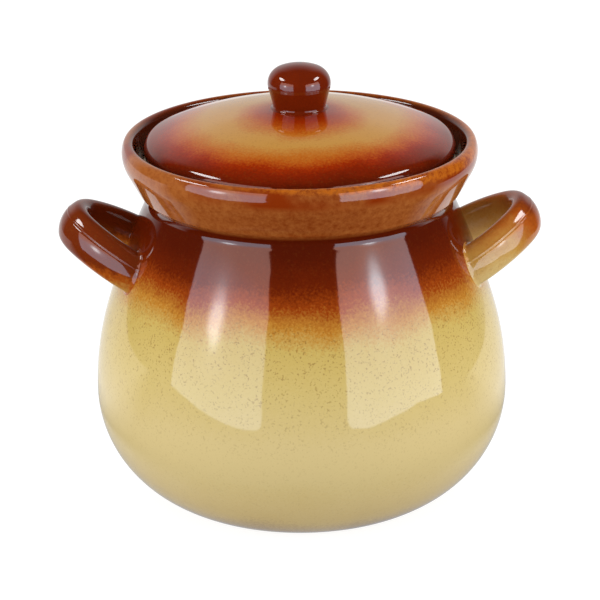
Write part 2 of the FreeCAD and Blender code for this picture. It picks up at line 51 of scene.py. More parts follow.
belly_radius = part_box("pot_body")[1].x
lip_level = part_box("pot_body")[1].z
belly_height = 0.053
pot_wall = 0.0065
foot_radius = belly_radius - 0.0325
foot_ring_width = 0.009
foot_recess = 0.0025
foot_round = 0.006
foot_ring_round = 0.001
floor_thickness = 0.009
floor_round = 0.014
shoulder = (belly_radius - 0.0063, belly_height + 0.043)
neck = (0.076, 0.1546)
neck_round = 0.005
collar_edge = (neck[0] + 0.0047, neck[1] + 0.0038)
collar_edge_round = 0.003
turn_radius = 0.016
crown_radius = 0.0105
lip_round = 0.0028
lip_rise = 0.0032
rim = (neck[0] + 0.0128, lip_level - lip_round - lip_rise)
ledge_height = lip_level - 0.0136
ledge_radius = rim[0] - 0.0102
ledge_round = 0.0012
throat_radius = neck[0] - pot_wall
throat_round = 0.0015
throat_blend = 0.002
pot_turns = 256


def direction(vector):
    """The vector over its own length."""
    return vector / np.linalg.norm(vector, axis=-1, keepdims=True)


def arc(start, heading, end, steps):
    """Points of the arc that leaves start along heading and arrives at end, for one arc or a row of them.
    At share t of the turn, the chord from start has turned from the heading by t times the angle between
    the heading and the whole chord, and its length is the whole chord times sin(t angle) / sin(angle)."""
    start, heading, end = np.broadcast_arrays(*(np.asarray(p, float) for p in (start, heading, end)))
    chord = end - start
    cross = heading[..., 0] * chord[..., 1] - heading[..., 1] * chord[..., 0]
    angle = np.arctan2(cross, (heading * chord).sum(-1))[..., None]
    share = np.linspace(0, 1, steps + 1)
    turn = angle * share
    whole = np.linalg.norm(chord, axis=-1)[..., None]
    length = whole * share * np.sinc(turn / np.pi) / np.sinc(angle / np.pi)
    along = heading[..., None, :] * np.cos(turn)[..., None]
    across = np.stack([-heading[..., 1], heading[..., 0]], -1)[..., None, :] * np.sin(turn)[..., None]
    return start[..., None, :] + length[..., None] * (along + across)


def heading_after(start, heading, end):
    """The direction in which that arc arrives: the heading mirrored in the chord."""
    chord = direction(np.subtract(end, start))
    return 2 * (chord @ heading) * chord - heading


def rounded_outline(corners, steps=8):
    """Joins corners, each (x, y, radius), by straight runs, with an arc of the corner's radius in it. The
    arc starts and ends at the radius times tan(half the turn) from the corner. Points that coincide are
    dropped."""
    same_place = 1e-7
    corners = np.array(corners, float)
    point, radius = corners[:, :2], corners[1:-1, 2:]
    runs = direction(np.diff(point, axis=0))
    arriving, leaving = runs[:-1], runs[1:]
    cosine = (arriving * leaving).sum(-1, keepdims=True)
    setback = radius * np.sqrt(np.maximum(1 - cosine, 0) / (1 + cosine))
    bends = arc(point[1:-1] - arriving * setback, arriving, point[1:-1] + leaving * setback, steps)
    outline = np.vstack([point[:1], bends.reshape(-1, 2), point[-1:]])
    moved = np.linalg.norm(np.diff(outline, axis=0), axis=1) > same_place
    return outline[np.r_[True, moved]]


def plain(points):
    """Points of a curve, as corners with no rounding of their own."""
    return [(x, y, 0.0) for x, y in points]


def distance_along(points):
    """How far each point lies from the first one, along the line through them."""
    return np.r_[0, np.cumsum(np.linalg.norm(np.diff(points, axis=0), axis=1))]


def put_mesh(name, points, faces, shares):
    """A smooth-shaded mesh of these points and faces, with each named share kept as a value per point."""
    mesh = bpy.data.meshes.new(name)
    mesh.from_pydata(points.tolist(), [], faces)
    mesh.polygons.foreach_set("use_smooth", np.ones(len(faces), bool))
    for title, values in shares.items():
        mesh.attributes.new(title, "FLOAT", "POINT").data.foreach_set("value", values.astype(np.float32))
    mesh.validate()
    made = bpy.data.objects.new(name, mesh)
    bpy.context.scene.collection.objects.link(made)
    return made


def skin_faces(rings, turns):
    """Faces of a skin of rings with turns points in each, and one more point at each end: a quad between
    two neighbours of one ring and the same two of the next, and a fan of triangles to each end point."""
    row, column = np.mgrid[0 : rings - 1, 0:turns]
    beside = (column + 1) % turns
    near_ring, far_ring = row * turns, (row + 1) * turns
    quads = [near_ring + column, near_ring + beside, far_ring + beside, far_ring + column]
    spoke = np.arange(turns)
    after = (spoke + 1) % turns
    last = (rings - 1) * turns
    first_fan = [np.full(turns, rings * turns), after, spoke]
    last_fan = [np.full(turns, rings * turns + 1), last + spoke, last + after]
    faces = np.stack(quads, -1).reshape(-1, 4).tolist()
    for fan in (first_fan, last_fan):
        faces += np.stack(fan, -1).tolist()
    return faces


def turned(name, outline, turns, shares):
    """Turns an outline of (radius, height), which starts and ends on the axis, once round it: the point
    at share s of the turn is (r sin 2 pi s, -r cos 2 pi s, z). Each end is one point. shares are values
    per point of the outline."""
    angle = np.linspace(0, 2 * np.pi, turns, endpoint=False)
    r, z = outline[1:-1, 0, None], outline[1:-1, 1, None]
    rings = np.stack([r * np.sin(angle), -r * np.cos(angle), z + 0 * angle], -1)
    points = np.vstack([rings.reshape(-1, 3), [[0, 0, outline[0, 1]], [0, 0, outline[-1, 1]]]])
    values = {title: np.r_[np.repeat(v[1:-1], turns), v[0], v[-1]] for title, v in shares.items()}
    return put_mesh(name, points, skin_faces(len(rings), turns), values)


def step_at(values, edges, width):
    """1 between the two edges and 0 outside them, with a soft step of that width at each."""
    rise = np.clip((values - edges[0]) / width + 0.5, 0, 1)
    fall = np.clip((values - edges[1]) / width + 0.5, 0, 1)
    return rise - fall


# The outer flank: one arc from the foot to the belly, one over the shoulder and one up to the neck.
belly = (belly_radius, belly_height)
foot = (foot_radius, 0.0)
under_belly = arc(belly, (0, -1), foot, steps=26)[::-1]
over_belly = arc(belly, (0, 1), shoulder, steps=18)
shoulder_heading = heading_after(belly, (0.0, 1.0), shoulder)
up_to_neck = arc(shoulder, shoulder_heading, neck, steps=24)
flank = np.vstack([under_belly[:-1], over_belly[:-1], up_to_neck])

# The collar's side: a flat face from its lower edge, which runs into the turn below the rim, then the
# crown and the round lip, each touching the one before without a corner.
turn_centre = np.array([rim[0] - turn_radius, rim[1]])
to_turn = turn_centre - collar_edge
face_length = math.sqrt(to_turn @ to_turn - turn_radius ** 2)
face_angle = math.atan2(to_turn[1], to_turn[0]) - math.atan2(turn_radius, face_length)
face_heading = np.array([math.cos(face_angle), math.sin(face_angle)])
face_end = collar_edge + face_length * face_heading
crown_centre = np.array([rim[0] - crown_radius, rim[1]])
crown_reach = crown_radius - lip_round
lip_centre = crown_centre + [math.sqrt(crown_reach ** 2 - lip_rise ** 2), lip_rise]
crown_end = crown_centre + crown_radius / crown_reach * (lip_centre - crown_centre)
lip_heading = np.array([crown_centre[1] - lip_centre[1], lip_centre[0] - crown_centre[0]]) / crown_reach
collar_side = np.vstack([
    arc(face_end, face_heading, rim, steps=10)[:-1],
    arc(rim, (0, 1), crown_end, steps=6)[:-1],
    arc(crown_end, lip_heading, lip_centre - [lip_round, 0], steps=16),
])

# The chamber: the flank moved inwards by the wall, from under the throat down to the floor's rounding.
flank_heading = direction(np.gradient(flank, axis=0))
inwards = np.stack([-flank_heading[:, 1], flank_heading[:, 0]], -1)
inside = (flank + pot_wall * inwards)[::-1]
floor_edge = (np.interp(floor_thickness, inside[::-1, 1], inside[::-1, 0]), floor_thickness)
upper_inside = inside[inside[:, 1] > shoulder[1]]
throat_foot = (throat_radius, np.interp(throat_radius, *upper_inside.T))
below_throat = inside[:, 1] < throat_foot[1] - throat_blend
above_floor = inside[:, 1] > floor_thickness + floor_round / 2
chamber = inside[below_throat & above_floor]

# The foot and the neck come as corners with their own rounding. The neck's rounding takes up the last
# stretch of the flank, so the point before it is left out too.
foot_inside = foot_radius - foot_ring_width
pot_outline = rounded_outline(
    [(0, foot_recess, 0), (foot_inside, foot_recess, foot_ring_round), (foot_inside, 0, foot_ring_round)]
    + [(*foot, foot_round)]
    + plain(flank[1:-2])
    + [(*neck, neck_round), (*collar_edge, collar_edge_round)]
    + plain(collar_side)
    + [(ledge_radius, ledge_height, ledge_round), (throat_radius, ledge_height, throat_round)]
    + [(*throat_foot, 0)]
    + plain(chamber)
    + [(*floor_edge, floor_round), (0, floor_thickness, 0)]
)

# Where the dark glaze begins inside, and where the glaze is wiped off before firing: the ledge and the
# foot.
inner_glaze_fade = 0.003
past_lip = 0.001
past_ledge = 0.004
wiped_above_ledge = 0.0006
wiped_below_ledge = 0.0012
wiped_foot_rim = 0.003
wiped_edge = 0.0008
foot_wiped_edge = 0.001

travelled = distance_along(pot_outline)
lip_index = np.argmax(pot_outline[:, 1])
past_lip_height = pot_outline[lip_index:, 1]
ledge_start = travelled[lip_index + np.argmax(past_lip_height < ledge_height + wiped_above_ledge)]
ledge_end = travelled[lip_index + np.argmax(past_lip_height < ledge_height - wiped_below_ledge)]
foot_end = travelled[np.argmax(pot_outline[:, 0] > foot_radius - wiped_foot_rim)]
wiped_ledge = step_at(travelled, (ledge_start, ledge_end), wiped_edge)
wiped_foot = step_at(travelled, (-1, foot_end), foot_wiped_edge)
pot_object = turned("pot", pot_outline, pot_turns, {
    "inside": step_at(travelled, (ledge_end + past_ledge, np.inf), inner_glaze_fade),
    "bare": np.maximum(wiped_ledge, wiped_foot),
    "collar_inside": step_at(travelled, (travelled[lip_index] + past_lip, np.inf), inner_glaze_fade),
})


def srgb(red, green, blue):
    """A colour given as the 0-255 values of a screen, as the linear values that a shader takes."""
    share = np.array([red, green, blue]) / 255
    linear = np.where(share <= 0.04045, share / 12.92, ((share + 0.055) / 1.055) ** 2.4)
    return (*linear.tolist(), 1.0)


foot_tan = srgb(172, 138, 80)
foot_straw = srgb(209, 181, 113)
straw = srgb(217, 196, 139)
deep_straw = srgb(209, 186, 117)
ochre = srgb(201, 174, 97)
mustard = srgb(188, 128, 46)
rust = srgb(150, 62, 12)
red_brown = srgb(103, 30, 3)
dark_brown = srgb(84, 21, 3)
freckle_brown = srgb(126, 76, 28)
collar_brown = srgb(134, 60, 18)
collar_tan = srgb(166, 95, 43)
lip_red = srgb(134, 47, 6)
lip_amber = srgb(184, 98, 24)
collar_inside_red = srgb(92, 34, 14)
inside_brown = srgb(70, 28, 12)
bare_clay = srgb(196, 176, 148)


def new_material(name):
    """An empty node material."""
    material = bpy.data.materials.new(name)
    material.use_nodes = True
    material.node_tree.nodes.clear()
    return material


def add_node(tree, kind, inputs=None, **settings):
    """Adds a shader node. Each of its inputs is given as a value or as another node's output."""
    made = tree.nodes.new("ShaderNode" + kind)
    for name, value in settings.items():
        setattr(made, name, value)
    for name, value in (inputs or {}).items():
        if isinstance(value, bpy.types.NodeSocket):
            tree.links.new(value, made.inputs[name])
        else:
            made.inputs[name].default_value = value
    return made


def math_node(tree, operation, *values, clamp=False):
    """The result of one sum on numbers or outputs."""
    return add_node(tree, "Math", dict(enumerate(values)), operation=operation, use_clamp=clamp).outputs[0]


def object_place(tree):
    """Each point's place in its mesh, in metres."""
    return add_node(tree, "TexCoord").outputs["Object"]


def parts_of(tree, vector):
    """A vector's three parts, by their letters."""
    return add_node(tree, "SeparateXYZ", {"Vector": vector}).outputs


def ramp(tree, value, stops):
    """A colour by value, through stops of (value, colour) between 0 and 1."""
    made = add_node(tree, "ValToRGB", {"Fac": value})
    elements = made.color_ramp.elements
    while len(elements) < len(stops):
        elements.new(1.0)
    for element, (position, colour) in zip(elements, stops):
        element.position = position
        element.color = colour
    return made.outputs["Color"]


def level(tree, value, start, end):
    """0 where value is at start, 1 where it is at end, and clamped outside."""
    inputs = {"Value": value, "From Min": start, "From Max": end}
    return add_node(tree, "MapRange", inputs).outputs["Result"]


def blend(tree, share, first, second):
    """A mix of two colours."""
    made = add_node(tree, "Mix", {0: share, 6: first, 7: second}, data_type="RGBA")
    return made.outputs[2]


def noise(tree, place, scale, detail=2.0, roughness=0.5):
    """Smooth noise, about 0.5 on average, with that many grains in a metre."""
    inputs = {"Vector": place, "Scale": scale, "Detail": detail, "Roughness": roughness}
    return add_node(tree, "TexNoise", inputs).outputs["Fac"]


def strayed(tree, value, wander, reach):
    """The value, moved by reach times what a noise is above its average of 0.5."""
    return math_node(tree, "MULTIPLY_ADD", math_node(tree, "SUBTRACT", wander, 0.5), reach, value)


def shared_value(tree, title):
    """The value that the mesh keeps under that name."""
    return add_node(tree, "Attribute", attribute_name=title).outputs["Fac"]


def fired_gloss(tree, colour, place):
    """The fired surface: a glassy glaze of that colour, slightly uneven as glaze is where it has run and
    settled. Broad swells carry a fine peel, which is a small share of them in height."""
    swells_per_metre = 38
    peel_per_metre = 420
    peel_share = 0.012
    unevenness = {"Strength": 0.16, "Distance": 0.0016}
    glass = {"Roughness": 0.055, "IOR": 1.5}
    swell = noise(tree, place, swells_per_metre, detail=1.0)
    peel = noise(tree, place, peel_per_metre, detail=1.0)
    uneven = math_node(tree, "MULTIPLY_ADD", peel, peel_share, swell)
    bump = add_node(tree, "Bump", {**unevenness, "Height": uneven}).outputs["Normal"]
    shader = add_node(tree, "BsdfPrincipled", {**glass, "Base Color": colour, "Normal": bump})
    add_node(tree, "OutputMaterial", {"Surface": shader.outputs["BSDF"]})


def freckles(tree, place, colour, amount):
    """Fine brown specks of iron in the glaze, about half a millimetre across, thicker where amount is
    higher."""
    specks_per_metre = 1000
    clusters_per_metre = 300
    cluster_share = 0.35
    speck_from, speck_full = 0.76, 0.90
    fine = noise(tree, place, specks_per_metre, detail=1.0)
    coarse = noise(tree, place, clusters_per_metre, detail=2.0)
    iron = math_node(tree, "MULTIPLY_ADD", coarse, cluster_share, fine)
    dots = math_node(tree, "MULTIPLY", level(tree, iron, speck_from, speck_full), amount)
    return blend(tree, dots, colour, freckle_brown)


spray_top = 0.160
# Towards the foot the glaze is darker, through foot_straw to foot_tan.
spray_heights = [
    (0.003, foot_tan), (0.014, foot_straw), (0.040, straw), (0.060, straw), (0.085, deep_straw),
    (0.106, ochre), (0.1165, mustard), (0.1255, rust), (0.1345, red_brown), (0.146, dark_brown),
]
spray_drift_reach = 0.014
spray_grain_reach = 0.016
spray_grains_per_metre = 820
freckles_least = 0.10
freckles_more = 0.40
freckled_from, freckled_full = 0.050, 0.100
brown_from, brown_full = 0.112, 0.128


def sprayed_flank(tree, place, height, drift):
    """The colour by height, with a drifting edge and a fine grain. Most freckles lie in the straw glaze,
    from the belly up to where the brown begins."""
    grain = noise(tree, place, spray_grains_per_metre, detail=2.0, roughness=0.6)
    sprayed_height = strayed(tree, height, drift, spray_drift_reach)
    sprayed_height = strayed(tree, sprayed_height, grain, spray_grain_reach)
    share = math_node(tree, "DIVIDE", sprayed_height, spray_top)
    sprayed = ramp(tree, share, [(z / spray_top, colour) for z, colour in spray_heights])
    below_brown = level(tree, height, brown_full, brown_from)
    thick = math_node(tree, "MULTIPLY", level(tree, height, freckled_from, freckled_full), below_brown)
    amount = math_node(tree, "MULTIPLY_ADD", thick, freckles_more, freckles_least)
    return freckles(tree, place, sprayed, amount)


mottles_per_metre = 330
tan_by_side = 3.0
tan_from, tan_full = 0.38, 0.78
lip_wander = 0.003
red_from, red_full = 0.1745, 0.1775
red_patch_from, red_patch_full = 0.40, 0.56
amber_lean = 0.040
amber_from, amber_full = 0.1825, 0.1845
amber_patch_from, amber_patch_full = 0.36, 0.58


def mottled_collar(tree, place, axes, drift):
    """Brown mottled with tan, more so towards the sides, with red patches near the rim. On the lip the
    glaze is thin and breaks to amber, more of it on the right."""
    mottle = noise(tree, place, mottles_per_metre, detail=4.0, roughness=0.75)
    tan = math_node(tree, "MULTIPLY_ADD", math_node(tree, "ABSOLUTE", axes["X"]), tan_by_side, mottle)
    colour = blend(tree, level(tree, tan, tan_from, tan_full), collar_brown, collar_tan)
    uneven = math_node(tree, "MULTIPLY_ADD", mottle, lip_wander, axes["Z"])
    patches = level(tree, drift, red_patch_from, red_patch_full)
    red = math_node(tree, "MULTIPLY", level(tree, uneven, red_from, red_full), patches)
    colour = blend(tree, red, colour, lip_red)
    leaning = math_node(tree, "MULTIPLY_ADD", axes["X"], amber_lean, uneven)
    patches = level(tree, mottle, amber_patch_from, amber_patch_full)
    thin = math_node(tree, "MULTIPLY", level(tree, leaning, amber_from, amber_full), patches)
    return blend(tree, thin, colour, lip_amber)


spray_drifts_per_metre = 26
collar_from, collar_full = 0.1553, 0.1575


def pot_glaze():
    """Straw glaze with brown sprayed over it: dark at the neck, breaking through rust and mustard to
    straw at the shoulder. The collar is a mottled tan brown, and inside it the glaze is dark."""
    material = new_material("pot_glaze")
    tree = material.node_tree
    place = object_place(tree)
    axes = parts_of(tree, place)
    drift = noise(tree, place, spray_drifts_per_metre, detail=2.0)
    flank_colour = sprayed_flank(tree, place, axes["Z"], drift)
    collar_colour = mottled_collar(tree, place, axes, drift)
    colour = blend(tree, level(tree, axes["Z"], collar_from, collar_full), flank_colour, collar_colour)
    colour = blend(tree, shared_value(tree, "collar_inside"), colour, collar_inside_red)
    colour = blend(tree, shared_value(tree, "inside"), colour, inside_brown)
    colour = blend(tree, shared_value(tree, "bare"), colour, bare_clay)
    fired_gloss(tree, colour, place)
    return material


pot_object.data.materials.append(pot_glaze())
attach(pot_object, "pot")
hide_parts("pot_body")

# The handles. Two straps of the same clay, each bent into a loop that rises outwards, with soft corners
# and the fine seam of its mould, and luted to the shoulder with slip, which leaves a small fillet round
# each root.

handle_end = belly_radius + 0.0092
handle_height = neck[1] - 0.0131
handle_tilt = math.radians(31)
handle_length = 0.044
handle_half_width = 0.0295
handle_bend = 0.020
band_half_thickness = 0.0061
band_half_height = 0.0104
band_round = 0.0046
root_fillet = 0.0017
root_sunk = 0.001
seam_above = 0.0040
seam_height = 0.00011
seam_half_width = 0.0005
loop_steps = 110
root_crowding = 1.5
halvings = 40


def loop_path():
    """Half of the loop in its own plane, from inside the wall to the outer end, as (distance, u outwards,
    v sideways, angle of the heading). It runs straight, then along a wide arc that bends gently inwards,
    then along a quarter of the end bend, which that arc touches: its radius is (reach^2 + side^2 -
    bend^2) over twice (side - bend)."""
    side = handle_half_width
    reach = handle_length - handle_bend
    leg_radius = (reach ** 2 + side ** 2 - handle_bend ** 2) / (2 * (side - handle_bend))
    leg_centre = np.array([-handle_length, side - leg_radius])
    bend_centre = np.array([-handle_bend, 0.0])
    tangent = bend_centre + handle_bend * direction(bend_centre - leg_centre)
    leg_start = (-handle_length, side)
    leg = arc(leg_start, (1, 0), tangent, steps=120)
    turn = heading_after(leg_start, np.array([1.0, 0.0]), tangent)
    bend = arc(tangent, turn, (0, 0), steps=60)
    straight = np.linspace((-2 * handle_length, side), leg_start, 20)
    path = np.vstack([straight[:-1], leg[:-1], bend])
    distance = distance_along(path)
    heading = np.gradient(path, distance, axis=0)
    return distance, path[:, 0], path[:, 1], np.unwrap(np.arctan2(heading[:, 1], heading[:, 0]))


def band_section():
    """The band's section, (across the band, up its height): an oval of four arcs, with the mould's fine
    seam along the upper part of its outer face. A quarter runs from the face's middle to the top, where
    the face's arc of radius (a^2 + b^2 - 2 b r) over twice (a - r) touches the cap's arc of radius r, and
    is mirrored."""
    a, b, r = band_half_thickness, band_half_height, band_round
    face_radius = (a * a + b * b - 2 * b * r) / (2 * (a - r))
    face_centre = np.array([a - face_radius, 0.0])
    cap_centre = np.array([0.0, b - r])
    meet = face_centre + face_radius * direction(cap_centre - face_centre)
    cap_heading = heading_after((a, 0.0), np.array([0.0, 1.0]), meet)
    face = arc((a, 0), (0, 1), meet, steps=10)
    quarter = np.vstack([face[:-1], arc(meet, cap_heading, (0, b), steps=8)])
    half = np.vstack([quarter[:-1], (quarter * [-1, 1])[::-1]])
    section = np.vstack([half[:-1], -half[:-1]])
    at_seam = np.argmin(np.abs(section[:, 1] - seam_above) + (section[:, 0] < 0))
    ridge = section[at_seam] + np.outer([-2, -1, 0, 1, 2], [0, seam_half_width / 2])
    ridge[:, 0] += seam_height * np.array([0, 0.5, 1, 0.5, 0])
    return np.vstack([section[:at_seam], ridge, section[at_seam + 1 :]])


def handle_mesh(name, side):
    """Carries the section along the loop. Every line of the skin starts where it meets the pot's flank,
    found by halving, and near there it swells by r - sqrt(r^2 - (r - d)^2) at distance d, which is the
    fillet of radius r. The second leg mirrors the first, and the left handle mirrors the right one."""
    distance, u, v, angle = loop_path()
    section = band_section()
    swelling = direction(section)

    def skin_point(along, across, up):
        """The skin's point at that distance along half a loop, in the pot's frame, for the leg with y
        below 0."""
        at_u, at_v, at_angle = (np.interp(along, distance, values) for values in (u, v, angle))
        out = at_u - across * np.sin(at_angle)
        sideways = at_v + across * np.cos(at_angle)
        x = handle_end + out * math.cos(handle_tilt) - up * math.sin(handle_tilt)
        z = handle_height + out * math.sin(handle_tilt) + up * math.cos(handle_tilt)
        return np.stack([x, -sideways, z], -1)

    def meets_flank(across, up):
        """The distance along the loop at which that line of the skin leaves the flank."""
        low = np.zeros_like(across)
        high = np.full_like(across, distance[-1])
        for _ in range(halvings):
            middle = (low + high) / 2
            x, y, z = skin_point(middle, across, up).T
            outside = np.hypot(x, y) > np.interp(z, flank[:, 1], flank[:, 0])
            low, high = np.where(outside, low, middle), np.where(outside, middle, high)
        return high

    root = meets_flank(*section.T)
    swollen_root = meets_flank(*(section + root_fillet * swelling).T)
    share = np.linspace(0, 1, loop_steps)[:, None] ** root_crowding
    gone = share * (distance[-1] - root)
    near = np.clip(1 - gone / root_fillet, 0, 1)
    swell = root_fillet - np.sqrt(root_fillet ** 2 - (root_fillet * near) ** 2)
    along = root + gone + (swollen_root - root) * near ** 2
    skin = section + swell[..., None] * swelling
    front = skin_point(along, skin[..., 0], skin[..., 1])
    other_leg = [1, -1, 1]
    sunk = front[:1] - root_sunk * direction(front[:1] * [1, 1, 0])
    rings = np.vstack([sunk, front, (front * other_leg)[-2::-1], sunk * other_leg])
    ends = np.stack([rings[0].mean(0), rings[-1].mean(0)])
    points = np.vstack([rings.reshape(-1, 3), ends])
    faces = [face[:1] + face[:0:-1] for face in skin_faces(len(rings), len(section))]
    if side < 0:
        points = points * [-1, 1, 1]
        faces = [face[::-1] for face in faces]
    return put_mesh(name, points, faces, {})


handle_top_brown = srgb(112, 42, 12)
handle_rust = srgb(164, 78, 20)
handle_mustard = srgb(188, 140, 66)
handle_cream = srgb(208, 181, 122)
handle_stops = [(0.0, handle_cream), (0.2, handle_mustard), (0.45, handle_rust), (0.62, handle_top_brown)]
handle_low, handle_high = 0.100, 0.160
upward_cover = 0.30
handle_drifts_per_metre = 60
handle_grains_per_metre = 520
handle_drift_reach = 0.45
handle_grain_reach = 0.30
outer_from, outer_full = 0.104, 0.115
few_freckles = 0.2


def handle_glaze(name, gain, reach, end):
    """The same glazes as the pot, sprayed from above. gain is how fast the brown gives way downwards,
    reach how far down it has covered, and end how much more of it lies on the outer end of the loop."""
    material = new_material(name)
    tree = material.node_tree
    place = object_place(tree)
    axes = parts_of(tree, place)
    facing = parts_of(tree, add_node(tree, "NewGeometry").outputs["Normal"])
    drift = noise(tree, place, handle_drifts_per_metre, detail=3.0, roughness=0.6)
    grain = noise(tree, place, handle_grains_per_metre, detail=3.0, roughness=0.7)
    height = level(tree, axes["Z"], handle_low, handle_high)
    cover = math_node(tree, "MULTIPLY_ADD", facing["Z"], upward_cover, height)
    cover = strayed(tree, cover, drift, handle_drift_reach)
    cover = strayed(tree, cover, grain, handle_grain_reach)
    cover = math_node(tree, "MULTIPLY_ADD", cover, gain, reach)
    outwards = level(tree, math_node(tree, "ABSOLUTE", axes["X"]), outer_from, outer_full)
    cover = math_node(tree, "MULTIPLY_ADD", outwards, end, cover)
    colour = freckles(tree, place, ramp(tree, cover, handle_stops), few_freckles)
    fired_gloss(tree, colour, place)
    return material


handle_sides = {"right_handle": 1, "left_handle": -1}
handle_sprays = {
    "right_handle": {"gain": 0.52, "reach": -0.10, "end": 0.17},
    "left_handle": {"gain": 1.2, "reach": 0.06, "end": 0.1},
}
for handle_name, side in handle_sides.items():
    handle = handle_mesh(handle_name + "_strap", side)
    handle.data.materials.append(handle_glaze(handle_name + "_glaze", **handle_sprays[handle_name]))
    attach(handle, "pot")
    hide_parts(handle_name)

# The lid. A hollow dome, turned in one piece, with a flat foot that lies on the ledge and a flange that
# hangs in the throat and keeps it centred. It is sprayed brown round its edge and round the knob, over a
# straw glaze.

dome_radius = 0.198
lid_wall = 0.0065
knob_foot_radius = 0.0146
knob_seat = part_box("lid")[1].z
dome_centre = (0.0, knob_seat - math.sqrt(dome_radius ** 2 - knob_foot_radius ** 2))
ledge_gap = 0.0025
lid_foot = (ledge_radius - ledge_gap, ledge_height)
lid_foot_round = 0.0012
lid_edge_radius = lid_foot[0] + 0.00175
lid_edge_round = 0.0065
throat_gap = 0.0015
flange_radius = throat_radius - throat_gap
flange_width = 0.0055
flange_inside = flange_radius - flange_width
flange_foot = ledge_height - 0.008
flange_round = 0.0015
flange_root_round = 0.0008
under_dome_round = 0.003
lid_turns = 224

edge_centre_radius = lid_edge_radius - lid_edge_round
edge_reach = dome_radius - lid_edge_round
edge_centre_height = dome_centre[1] + math.sqrt(edge_reach ** 2 - edge_centre_radius ** 2)
edge_angle = math.atan2(edge_centre_height - dome_centre[1], edge_centre_radius)
dome_end = (dome_radius * math.cos(edge_angle), dome_centre[1] + dome_radius * math.sin(edge_angle))
side_lean = math.atan2(lid_edge_radius - lid_foot[0], edge_centre_height - lid_foot[1])
edge_end = (
    edge_centre_radius + lid_edge_round * math.cos(side_lean),
    edge_centre_height - lid_edge_round * math.sin(side_lean),
)
seat_heading = np.array([knob_seat - dome_centre[1], -knob_foot_radius]) / dome_radius
dome = arc((knob_foot_radius, knob_seat), seat_heading, dome_end, steps=40)
dome_heading = np.array([math.sin(edge_angle), -math.cos(edge_angle)])
edge = arc(dome_end, dome_heading, edge_end, steps=12)
inner_radius = dome_radius - lid_wall
under_dome_start = (flange_inside, dome_centre[1] + math.sqrt(inner_radius ** 2 - flange_inside ** 2))
under_dome_heading = np.array([-(under_dome_start[1] - dome_centre[1]), flange_inside]) / inner_radius
under_dome = arc(under_dome_start, under_dome_heading, (0, dome_centre[1] + inner_radius), steps=30)

# The outline goes from the knob's seat over the edge to the middle of the underside, and is turned the
# other way round. The rounding inside the flange takes up the first stretch under the dome.
lid_outline = rounded_outline(
    [(0, knob_seat, 0)] + plain(dome[:-1]) + plain(edge)
    + [(*lid_foot, lid_foot_round), (flange_radius, ledge_height, flange_root_round)]
    + [(flange_radius, flange_foot, flange_round), (flange_inside, flange_foot, flange_round)]
    + [(*under_dome_start, under_dome_round)] + plain(under_dome[2:])
)[::-1]

# Bare clay from the flange's inner edge round to the lid's foot, and dark glaze under the dome.
wiped_margin = 0.001
under_dome_fade = 0.001
lid_travelled = distance_along(lid_outline)
lid_radius, lid_height = lid_outline.T
bare_from = lid_travelled[np.argmax(lid_radius > flange_inside + wiped_margin)]
past_foot = (lid_radius > flange_radius + wiped_margin) & (lid_height > ledge_height + wiped_margin)
bare_to = lid_travelled[np.argmax(past_foot)]
lid_object = turned("lid_dome", lid_outline, lid_turns, {
    "inside": step_at(lid_travelled, (-1, bare_from), under_dome_fade),
    "bare": step_at(lid_travelled, (bare_from, bare_to), wiped_edge),
})

lid_straw = srgb(194, 140, 64)
lid_orange = srgb(185, 102, 30)
lid_tawny = srgb(176, 78, 16)
lid_rust = srgb(152, 42, 2)
lid_red = srgb(128, 31, 2)
lid_brown = srgb(95, 24, 2)
lid_stops = [
    (0.0, lid_straw), (0.30, lid_orange), (0.43, lid_tawny), (0.57, lid_rust), (0.72, lid_red),
    (1.0, lid_brown),
]
lid_drifts_per_metre = 34
lid_drift_reach = 0.014
lid_grain_reach = 0.010
ring_from, ring_full = 0.0495, 0.0785
halo_centre = (0.0, -0.011, 0.0)
halo_outer, halo_inner, halo_core = 0.034, 0.021, 0.004
halo_share = 0.46
halo_core_share = 0.26


def distance_from(tree, place, point):
    """How far each place is from that point."""
    return add_node(tree, "VectorMath", {0: place, 1: point}, operation="DISTANCE").outputs["Value"]


def lid_glaze():
    """Straw on the dome, with the brown sprayed in a ring: it breaks through orange and rust to red brown
    at the edge, and a smaller halo of it lies round the knob, more to the front."""
    material = new_material("lid_glaze")
    tree = material.node_tree
    place = object_place(tree)
    without_height = {0: place, 1: (1.0, 1.0, 0.0)}
    flat = add_node(tree, "VectorMath", without_height, operation="MULTIPLY").outputs["Vector"]
    drift = noise(tree, place, lid_drifts_per_metre, detail=2.0)
    grain = noise(tree, place, spray_grains_per_metre, detail=2.0, roughness=0.6)
    stray = strayed(tree, strayed(tree, 0.0, drift, lid_drift_reach), grain, lid_grain_reach)
    radius = math_node(tree, "ADD", distance_from(tree, flat, (0.0, 0.0, 0.0)), stray)
    from_halo = math_node(tree, "ADD", distance_from(tree, flat, halo_centre), stray)
    halo = math_node(tree, "MULTIPLY", level(tree, from_halo, halo_outer, halo_inner), halo_share)
    core = level(tree, from_halo, halo_inner, halo_core)
    halo = math_node(tree, "MULTIPLY_ADD", core, halo_core_share, halo)
    brown = math_node(tree, "MAXIMUM", level(tree, radius, ring_from, ring_full), halo)
    colour = freckles(tree, place, ramp(tree, brown, lid_stops), few_freckles)
    colour = blend(tree, shared_value(tree, "inside"), colour, inside_brown)
    colour = blend(tree, shared_value(tree, "bare"), colour, bare_clay)
    fired_gloss(tree, colour, place)
    return material


lid_object.data.materials.append(lid_glaze())
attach(lid_object, "lid")
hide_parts("lid")

# The knob. One lump of the same clay, round, with a waist for the fingers and a soft head that shows the
# fine line of its mould. It is luted to the middle of the dome.

